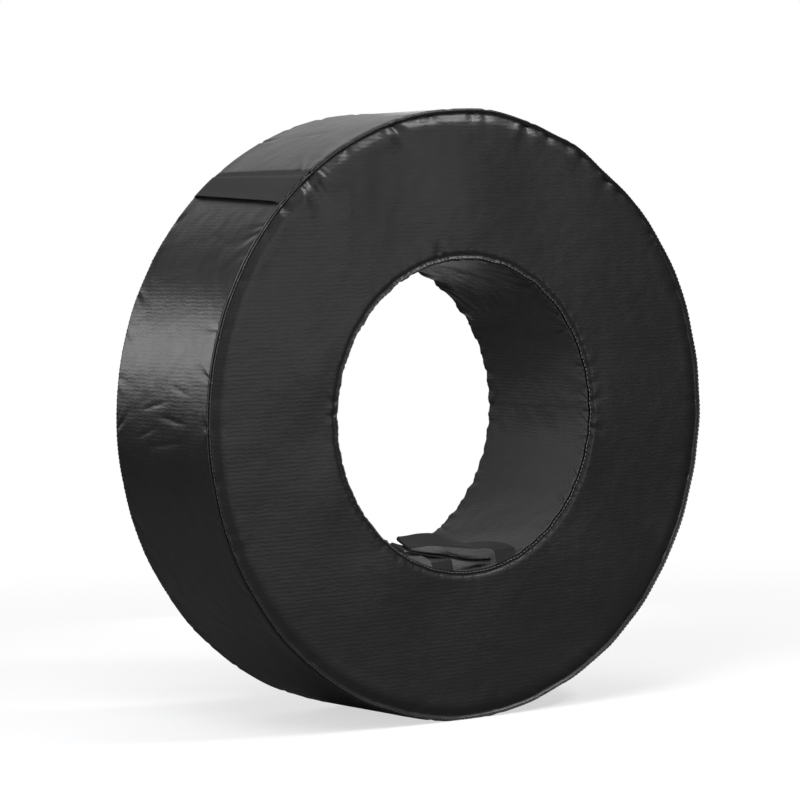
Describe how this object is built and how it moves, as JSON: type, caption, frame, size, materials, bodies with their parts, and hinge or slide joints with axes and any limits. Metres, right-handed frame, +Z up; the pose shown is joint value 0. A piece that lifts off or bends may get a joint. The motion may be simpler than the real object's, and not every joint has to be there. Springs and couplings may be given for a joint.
{
  "type": "tackling wheel",
  "caption": "Large padded foam wheel in a sewn black vinyl cover, with a round hole through its middle, a closure flap on its tread and a folded carry strap.",
  "frame": {"origin": "centre of the wheel, on its axis and halfway through its width", "axes": "+Y along the wheel's axis from the front face to the back face, +Z up with the wheel standing on its tread, +X to the right as seen from the front"},
  "size_m": [0.9128, 0.258, 0.9128],
  "materials": {
    "foam": "matte",
    "ribbed_vinyl": "matte",
    "gloss_vinyl": "satin",
    "lining_vinyl": "satin",
    "flap_webbing": "matte",
    "closure_tape": "matte",
    "strap_webbing": "matte"
  },
  "bodies": {
    "wheel": {"foam_slab_1": "foam", "foam_slab_2": "foam", "foam_slab_3": "foam", "foam_slab_4": "foam", "foam_slab_5": "foam", "front_face_panel": "ribbed_vinyl", "back_face_panel": "ribbed_vinyl", "tread_panel": "gloss_vinyl", "bore_lining": "lining_vinyl", "loop_tape": "closure_tape", "strap_end_left": "strap_webbing", "strap_end_right": "strap_webbing"},
    "flap": {"closure_flap": "flap_webbing", "hook_tape": "closure_tape"},
    "strap": {"carry_strap": "strap_webbing"}
  },
  "joints": [
    {"name": "flap_peel", "type": "hinge", "parent": "wheel", "child": "flap", "pos_m": [-0.27018, 0, 0.36781], "axis": [0, 1, 0], "range_deg": [0, 150]},
    {"name": "strap_lift", "type": "hinge", "parent": "wheel", "child": "strap", "pos_m": [0.01123, -0.12233, -0.21204], "axis": [0.9975, -0.0002, 0.0702], "range_deg": [0, 90]}
  ]
}
